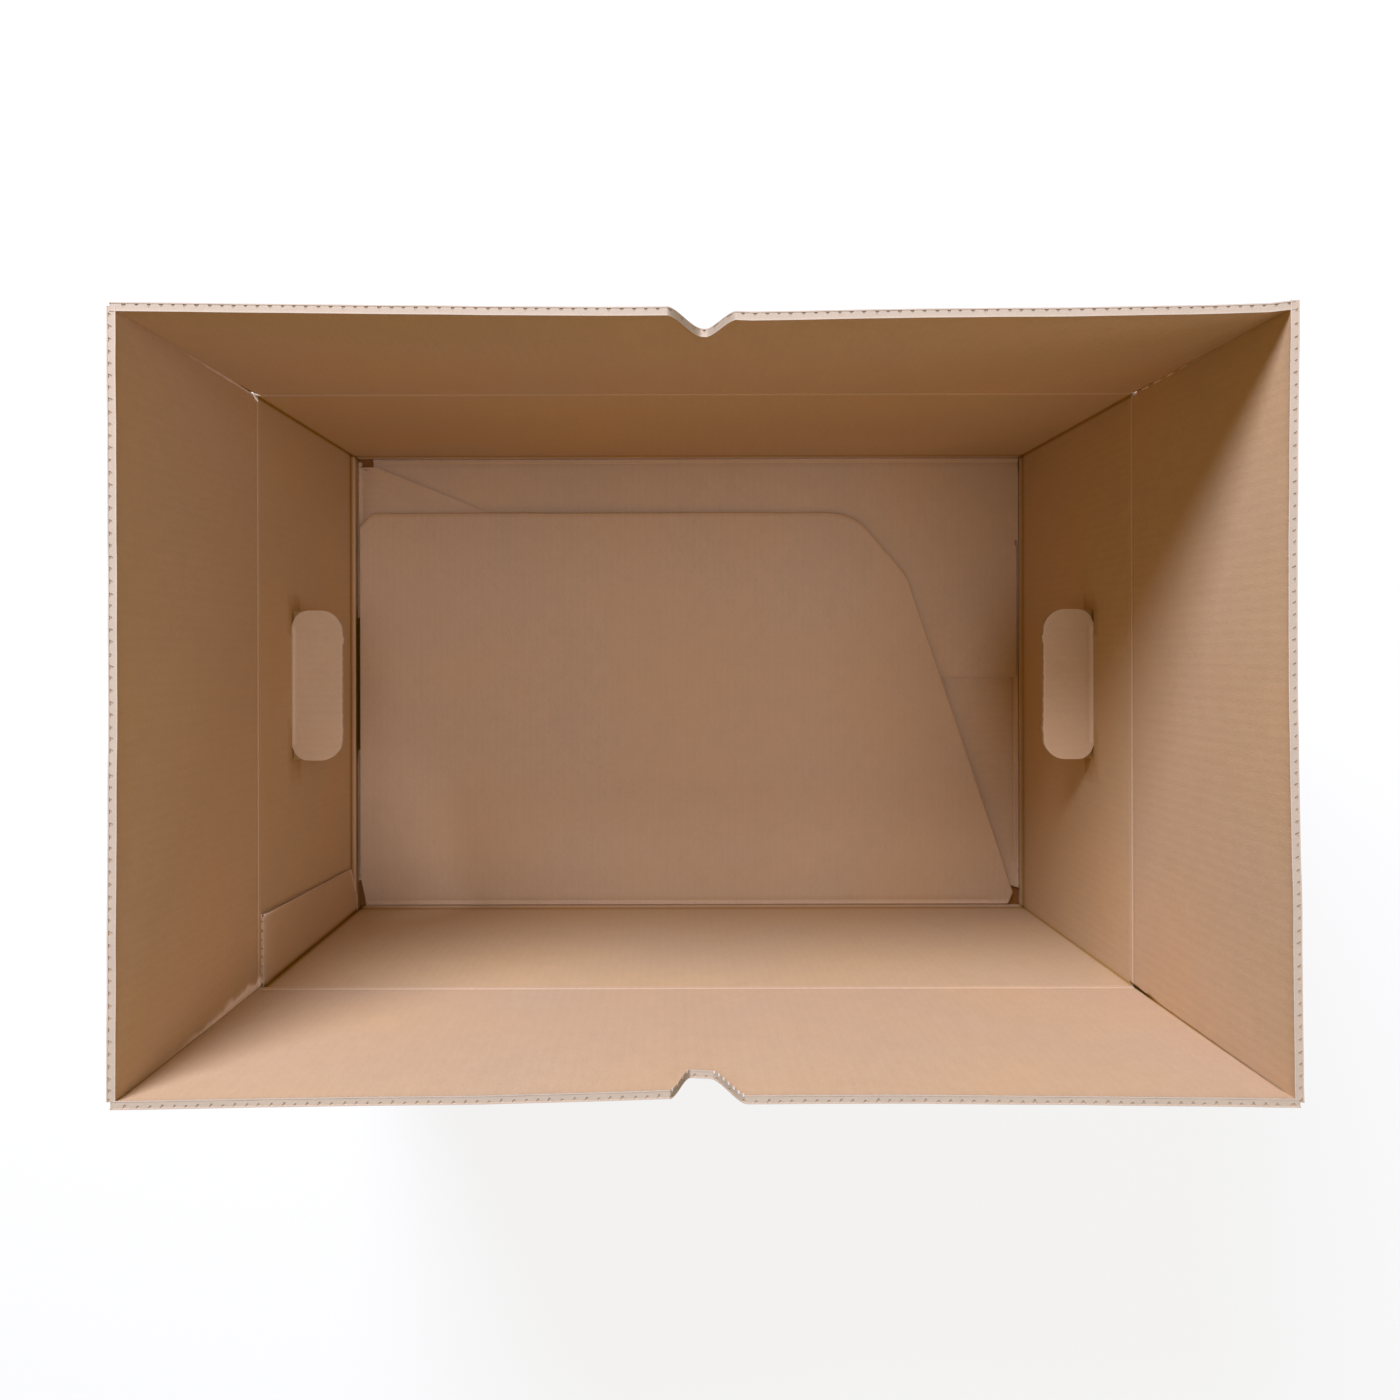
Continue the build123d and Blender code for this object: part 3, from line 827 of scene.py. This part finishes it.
def panel_a(mesh):
    """Top panel, from the front wall. s is x, t the way from the wall's inner face."""
    left = -inner_x + 3.5 * mm
    toe, heel, knee = inner_x - 6.5 * mm, inner_x - 103 * mm, inner_x - 150 * mm
    free, heel_depth, toe_depth, corner = 352 * mm, 297 * mm, 11 * mm, 11.5 * mm
    hs, ht = rounded_line([(left, free - corner, 0), (left + corner, free, 4 * mm),
                           (knee, free, 22 * mm), (heel, heel_depth, 8 * mm),
                           (toe, toe_depth, 0)])
    s = np.unique(np.round(np.concatenate([
        np.linspace(left, left + corner + 1.5 * mm, 12), np.linspace(left, knee, 25),
        np.linspace(knee - 0.03, heel + 0.01, 60), np.linspace(heel, toe, 40)]), 6))

    def high_at(v):
        nib = 0.0012 * bump_at(v, heel + 0.0015, 0.0013)
        return np.interp(v, hs, ht) + nib + ripple(v, 0.0003, 0.02, 61)

    def low_at(v):
        return np.maximum(np.interp(v, [left, left + 4 * mm], [23 * mm, -overlap]),
                          np.interp(v, [toe - 4 * mm, toe], [-overlap, toe_depth]))

    low, high = low_at(s), np.maximum(high_at(s), low_at(s) + overlap)
    t = ridge_rows(low, high, [0.3, 0.6, 0.9, 0.985, 1.0])

    def place(s, t, n):
        ramp = 2 * board * np.clip(t / (45 * mm), 0, 1)
        dent = 0.0004 * bump_at(s, -0.202, 0.011) * smooth((t - 0.02) / 0.02) \
            * smooth((0.12 - t) / 0.03)
        warp = ripple(s, 0.0003, 0.4, 63) * smooth(t / 0.1)
        return s, -inner_y + t, ramp + n + fold_ridge(t, n) - dent + warp

    def scuffs_and_painted_light(s, t):
        # painted highlight along the fold ridge and a painted shadow line along the free edge
        return 0.45 * bump_at(t, 0.0018, 0.001) - 1.6 * np.exp(-np.abs(high_at(s) - t) / 0.0007)

    two_liners(mesh, s, t, np.ones((len(s) - 1, t.shape[1] - 1), bool), place, scuffs_and_painted_light)
    free_edge_fluting(mesh, left, toe - 0.004, low_at, high_at, place)


def panel_b(mesh):
    """From the back wall; comes down from the right minor panel to the floor. s is x, t the
    way from the wall's inner face."""
    left, right = -inner_x + 14 * mm, inner_x - 3.2 * mm
    depth, corner = 197 * mm, 14 * mm
    nick_depth = 77 * mm
    hs, ht = [left, left + corner, right + 0.002], [depth - corner, depth, depth]
    s = np.unique(np.round(np.concatenate([np.linspace(left, right, 41),
                                           np.linspace(left, left + corner, 6),
                                           [right - 0.003, right - 0.0015, right + 0.0015]]), 6))
    high = np.interp(s, hs, ht) + ripple(s, 0.0003, 0.03, 71)
    low = np.full(len(s), -overlap)
    t = ridge_rows(low, high, [0.12, 0.14, 0.16, 0.4, 0.7, 0.95, 1.0])
    nick = len(ridge_share)
    # nick in the right edge: three rows are drawn together there
    t[:, nick] = nick_depth - 2.5 * mm
    t[:, nick + 1] = np.where(s > right - 3.5 * mm, nick_depth, nick_depth - 0.5 * mm)
    t[:, nick + 2] = nick_depth + 2.5 * mm
    keep = np.ones((len(s) - 1, t.shape[1] - 1), bool)
    keep[-1:, nick:] = False
    keep[-2:, nick:nick + 2] = False

    def place(s, t, n):
        level = board * np.clip((s + 0.1) / 0.2, 0, 1)
        return s, inner_y - t, level + n + fold_ridge(t, n)

    two_liners(mesh, s, t, keep, place, painted_fold_highlight(-overlap))
    free_edge_fluting(mesh, left, right, lambda v: np.full(len(v), 0.0),
                      lambda v: np.interp(v, hs, ht), place)


def left_minor(mesh):
    """From the left wall, over panel B. s is y, t the way from the wall's inner face."""
    front, back, ear = -inner_y + 23 * mm, inner_y - 3.5 * mm, inner_y - 6.5 * mm
    slot_low, slot_high = slot_middle - slot_half, slot_middle + slot_half
    corner = 13.8 * mm

    def high_at(v):
        fore = overlap + (v - front) / 0.3
        aft = corner + (ear - v) / 0.41
        slanted = np.clip(np.minimum(fore, aft), overlap, minor_reach)
        return np.where(v > ear - 1.5 * mm, 3.5 * mm, slanted)

    s = np.unique(np.round(np.concatenate([
        np.linspace(front, front + 0.0565, 12), np.linspace(front + 0.0565, ear - 0.0716, 14),
        np.linspace(ear - 0.0716, ear - 0.0016, 12), [ear - 0.0014, ear, back],
        [slot_low - 0.0002, slot_low, slot_high, slot_high + 0.0002]]), 6))
    low = np.where((s > slot_low - 1e-5) & (s < slot_high + 1e-5), slot_reach, -overlap)
    high = np.maximum(high_at(s), low + overlap)
    t = ridge_rows(low, high, [0.5, 1.0])

    def place(s, t, n):
        level = board * np.clip(t / (14 * mm), 0, 1)
        return -inner_x + t, s, level + n + fold_ridge(t, n)

    two_liners(mesh, s, t, np.ones((len(s) - 1, t.shape[1] - 1), bool), place, painted_fold_highlight(-overlap))
    free_edge_fluting(mesh, front + 0.002, ear - 0.0017, lambda v: v * 0, high_at, place)


def right_minor(mesh):
    """Lowest panel, from the right wall. s is y, t the way from the wall's inner face."""
    front, back = -inner_y + 15 * mm, inner_y - 12 * mm

    def high_at(v):
        fore = np.interp(v, [front, front + 4.1 * mm, front + 77.1 * mm],
                         [overlap, 13.8 * mm, minor_reach])
        aft = overlap + (back - v) / 0.41
        return np.clip(np.minimum(fore, aft), overlap, minor_reach)

    s = np.unique(np.round(np.concatenate([
        np.linspace(front, front + 0.0041, 4), np.linspace(front + 0.0041, front + 0.0771, 12),
        np.linspace(front + 0.0771, back - 0.0771, 14), np.linspace(back - 0.0771, back, 12)]), 6))
    low = np.full(len(s), -overlap)
    high = np.maximum(high_at(s), low + overlap)
    t = ridge_rows(low, high, [0.5, 1.0])

    def place(s, t, n):
        return inner_x - t, s, n + fold_ridge(t, n)

    two_liners(mesh, s, t, np.ones((len(s) - 1, t.shape[1] - 1), bool), place, painted_fold_highlight(-overlap))
    free_edge_fluting(mesh, front + 0.002, back - 0.002, lambda v: v * 0, high_at, place)


def tongue(mesh, sign, seed):
    """Folded in level from a hand hole, with a crushed crease at the wall."""
    fine_end = np.array([0.0002, 0.0006, 0.0012, 0.002, 0.0035, 0.005])
    s = np.unique(np.round(np.concatenate([np.linspace(-hand_half, -hand_half + hand_radius, 14),
                                           np.linspace(-hinge_half, hinge_half, 31),
                                           np.linspace(hand_half - hand_radius, hand_half, 14),
                                           [-hinge_half - 0.0004, hinge_half + 0.0004],
                                           hand_half - fine_end, fine_end - hand_half]), 6))

    def low_at(v):
        beside = slit * smooth((np.abs(v) - hinge_half) / 0.004)
        beside = beside + corner_cut(v, hand_half, hand_half - hinge_half)
        return np.where(np.abs(v) < hinge_half + 1e-5, -0.0022, beside)

    def high_at(v):
        nib = sum(0.0016 * bump_at(v, c, 0.0012) for c in (-0.031, 0.0335, 0.036))
        rounded = hand_reach - corner_cut(v, hand_half, hand_radius)
        return rounded + nib + ripple(v, 0.00025, 0.011, seed)

    low, high = low_at(s), high_at(s)
    share = np.array([0, 0.02, 0.04, 0.06, 0.08, 0.1, 0.125, 0.15, 0.18, 0.22, 0.4, 0.7, 0.95, 1.0])
    t = low[:, None] + (high - low)[:, None] * share

    def place(s, t, n):
        bead = (0.0006 * bump_at(t, 0.0014, 0.0009) - 0.0005 * bump_at(t, 0.0034, 0.0009)) \
            * (np.abs(s) < hinge_half) * n / board
        droop = 0.0008 * np.clip(t / hand_reach, 0, 1) ** 1.5
        z = tongue_top - board + n + bead - droop
        return sign * (inner_x - t), s + hand_middle, z

    def scuffs_and_painted_light(s, t):
        # painted highlight along the hinge crease, and a paler cut free edge
        return 0.6 * bump_at(t, 0.0014, 0.0008) * (np.abs(s) < hinge_half) \
            + 0.35 * np.exp(-np.abs(high_at(s) - t) / 0.001)

    two_liners(mesh, s, t, np.ones((len(s) - 1, len(share) - 1), bool), place, scuffs_and_painted_light)
    free_edge_fluting(mesh, -hand_half + 0.001, hand_half - 0.001, low_at, high_at, place)

    # thin sheets under the slits at both ends of the hinge, painted dark as the shade seen through
    # the slits
    for end in (-1, 1):
        v = np.sort(end * np.linspace(hinge_half - 0.002, hand_half - 0.0003, 15))
        t = (low_at(v) + 0.002)[:, None] * np.array([0, 0.5, 1.0]) - np.array([0.0004, 0, 0])
        mesh.sheet(v, t, np.ones((len(v) - 1, 2), bool), -0.0013, -0.0009, place,
                   wear=lambda s, t: np.full(t.shape, -1.7))


carton = Board()
walls(carton)
glue_tab(carton)
right_minor(carton)
panel_b(carton)
left_minor(carton)
panel_a(carton)
tongue(carton, -1, 81)
tongue(carton, 1, 83)
body_piece = carton.make("carton_body_board", materials)
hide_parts("carton_body")
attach(body_piece, "carton")


# Floor, light and camera

def floor_material(name, colour, glow):
    """Plain floor; glow is the share of plain white that the camera alone sees."""
    material = bpy.data.materials.new(name)
    material.use_nodes = True
    nodes, links = material.node_tree.nodes, material.node_tree.links
    shader = nodes["Principled BSDF"]
    shader.inputs["Base Color"].default_value = (*colour, 1)
    shader.inputs["Roughness"].default_value = 0.9
    shader.inputs["Specular IOR Level"].default_value = 0.1
    if glow:
        white = nodes.new("ShaderNodeEmission")
        path = nodes.new("ShaderNodeLightPath")
        part = nodes.new("ShaderNodeMath")
        part.operation = "MULTIPLY"
        part.inputs[1].default_value = glow
        mix = nodes.new("ShaderNodeMixShader")
        links.new(path.outputs["Is Camera Ray"], part.inputs[0])
        links.new(part.outputs[0], mix.inputs[0])
        links.new(shader.outputs[0], mix.inputs[1])
        links.new(white.outputs[0], mix.inputs[2])
        links.new(mix.outputs[0], nodes["Material Output"].inputs["Surface"])
        # the glow lights nothing, so it is not sampled as a lamp
        material.cycles.emission_sampling = "NONE"
    return material


def floor_piece(name, outer, inner, material):
    """Flat floor with an optional rectangular opening."""
    (ox, oy), z = outer, -0.0002
    points = [(-ox, -oy, z), (ox, -oy, z), (ox, oy, z), (-ox, oy, z)]
    faces = [(0, 1, 2, 3)]
    if inner:
        ix, iy = inner
        points += [(-ix, -iy, z), (ix, -iy, z), (ix, iy, z), (-ix, iy, z)]
        faces = [(0, 1, 5, 4), (1, 2, 6, 5), (2, 3, 7, 6), (3, 0, 4, 7)]
    mesh = bpy.data.meshes.new(name)
    mesh.from_pydata(points, [], faces)
    mesh.materials.append(material)
    obj = bpy.data.objects.new(name, mesh)
    bpy.context.collection.objects.link(obj)


under = (half_x, half_y)
floor_piece("floor", (6.0, 6.0), under, floor_material("pale_floor", (0.9, 0.9, 0.9), 0.8))
# The floor under the carton is dark brown: painted shade, seen only through the gaps in the carton's
# bottom.
floor_piece("floor_under_carton", under, None,
            floor_material("shaded_floor", (0.27, 0.10, 0.02), 0))


def area_light(name, azimuth, elevation, distance, size, power, colour=(1, 1, 1)):
    """A round lamp aimed at the middle of the carton; azimuth from +X towards +Y."""
    lamp = bpy.data.lights.new(name, "AREA")
    lamp.shape = "DISK"
    lamp.size = size
    lamp.energy = power
    lamp.color = colour
    obj = bpy.data.objects.new(name, lamp)
    a, e = math.radians(azimuth), math.radians(elevation)
    obj.location = (distance * math.cos(e) * math.cos(a), distance * math.cos(e) * math.sin(a),
                    0.25 + distance * math.sin(e))
    obj.rotation_euler = (math.radians(90 - elevation), 0, a + math.radians(90))
    bpy.context.collection.objects.link(obj)
    return obj


area_light("key", 113, 41, 2.5, 1.1, 85.5, (0.93, 1.0, 1.34))
area_light("overhead", 0, 80, 2.5, 1.6, 23, (0.92, 1.0, 1.4))
area_light("low_fill", 308, 23, 2.5, 1.0, 4.0, (1.0, 0.96, 1.45))


def room_light(colour, strength):
    """Weak warm light from all around; the camera sees plain white there."""
    world = bpy.data.worlds.new("world")
    bpy.context.scene.world = world
    world.use_nodes = True
    nodes, links = world.node_tree.nodes, world.node_tree.links
    light = nodes["Background"]
    light.inputs["Color"].default_value = (*colour, 1)
    light.inputs["Strength"].default_value = strength
    backdrop = nodes.new("ShaderNodeBackground")
    backdrop.inputs["Color"].default_value = (1, 1, 1, 1)
    backdrop.inputs["Strength"].default_value = 1.0
    path = nodes.new("ShaderNodeLightPath")
    mix = nodes.new("ShaderNodeMixShader")
    links.new(path.outputs["Is Camera Ray"], mix.inputs[0])
    links.new(light.outputs[0], mix.inputs[1])
    links.new(backdrop.outputs[0], mix.inputs[2])
    links.new(mix.outputs[0], nodes["World Output"].inputs["Surface"])


room_light((1, 0.8, 0.06), 0.245)

camera_data = bpy.data.cameras.new("camera")
camera_data.sensor_width = 36
camera_data.lens = 30.025
camera_data.shift_x = 0.02225
camera_data.shift_y = -0.03399
camera = bpy.data.objects.new("camera", camera_data)
camera.location = (-0.01773, 0.02643, 1.0522)
camera.rotation_euler = (0, 0, -0.0020)
bpy.context.collection.objects.link(camera)
bpy.context.scene.camera = camera
bpy.context.scene.view_settings.view_transform = "Standard"
